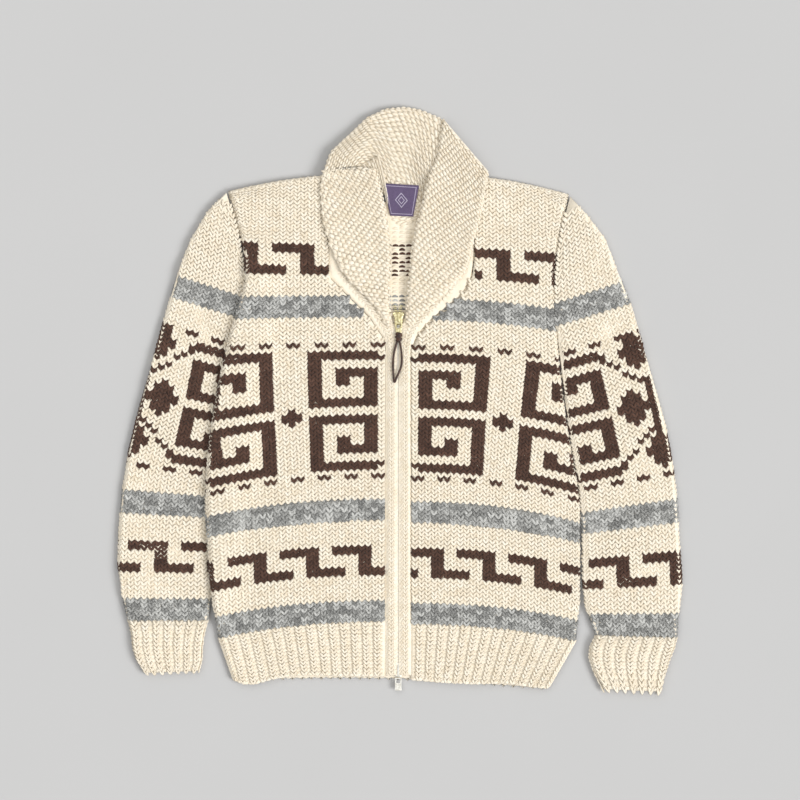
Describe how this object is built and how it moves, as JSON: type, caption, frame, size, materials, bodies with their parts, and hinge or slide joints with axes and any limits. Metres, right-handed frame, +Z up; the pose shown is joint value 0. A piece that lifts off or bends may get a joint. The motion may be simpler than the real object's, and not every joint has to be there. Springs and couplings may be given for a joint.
{
  "type": "cowichan cardigan",
  "caption": "Heavy hand-knitted shawl-collar zip cardigan lying flat, front up, cream wool with brown geometric bands and grey stripes.",
  "frame": {"origin": "on the surface it lies on, under the middle of the garment's box", "axes": "+Z up out of the front, +Y from hem to collar, +X to the wearer's left (viewer's right)"},
  "size_m": [0.77, 0.797, 0.0212],
  "materials": {
    "cream_wool": "undyed cream thick single-ply wool with dark brown pattern stitches, stocking stitch, rib and seed stitch",
    "grey_wool": "mottled heather grey thick single-ply wool",
    "brown_wool": "dark brown thick single-ply wool, the pattern stitches of the body and sleeves",
    "brass": "bright cast and stamped brass",
    "pale_metal": "pale nickel-coated metal",
    "zip_tape": "cream woven tape",
    "woven_label": "dark purple woven satin label",
    "brown_leather": "dark brown leather lace"
  },
  "bodies": {
    "garment": {"back": "cream_wool", "hem_rib_back": "cream_wool", "front_left": "cream_wool", "front_right": "cream_wool", "hem_rib_left": "cream_wool", "hem_rib_right": "cream_wool", "sleeve_left": "cream_wool", "sleeve_right": "cream_wool", "cuff_left": "cream_wool", "cuff_right": "cream_wool", "zip_band_left": "cream_wool", "zip_band_right": "cream_wool", "collar_back": "cream_wool", "collar_left": "cream_wool", "collar_right": "cream_wool", "pocket_left": "grey_wool", "pocket_right": "grey_wool", "zip_chain": "brass", "zip_teeth_left": "brass", "zip_teeth_right": "brass", "slider_top": "brass", "zip_tape_left": "zip_tape", "zip_tape_right": "zip_tape", "slider_bottom": "pale_metal", "neck_label": "woven_label"},
    "top_pull": {"pull_link": "brass", "pull_thong": "brown_leather"},
    "bottom_pull": {"pull_bottom": "pale_metal"}
  },
  "joints": [
    {"name": "top_pull_hinge", "type": "hinge", "parent": "garment", "child": "top_pull", "pos_m": [-0.002, 0.1045, 0.012], "axis": [-1, 0, 0], "range_deg": [0, 160]},
    {"name": "bottom_pull_hinge", "type": "hinge", "parent": "garment", "child": "bottom_pull", "pos_m": [-0.0024, -0.3782, 0.0061], "axis": [-1, 0, 0], "range_deg": [0, 110]}
  ]
}
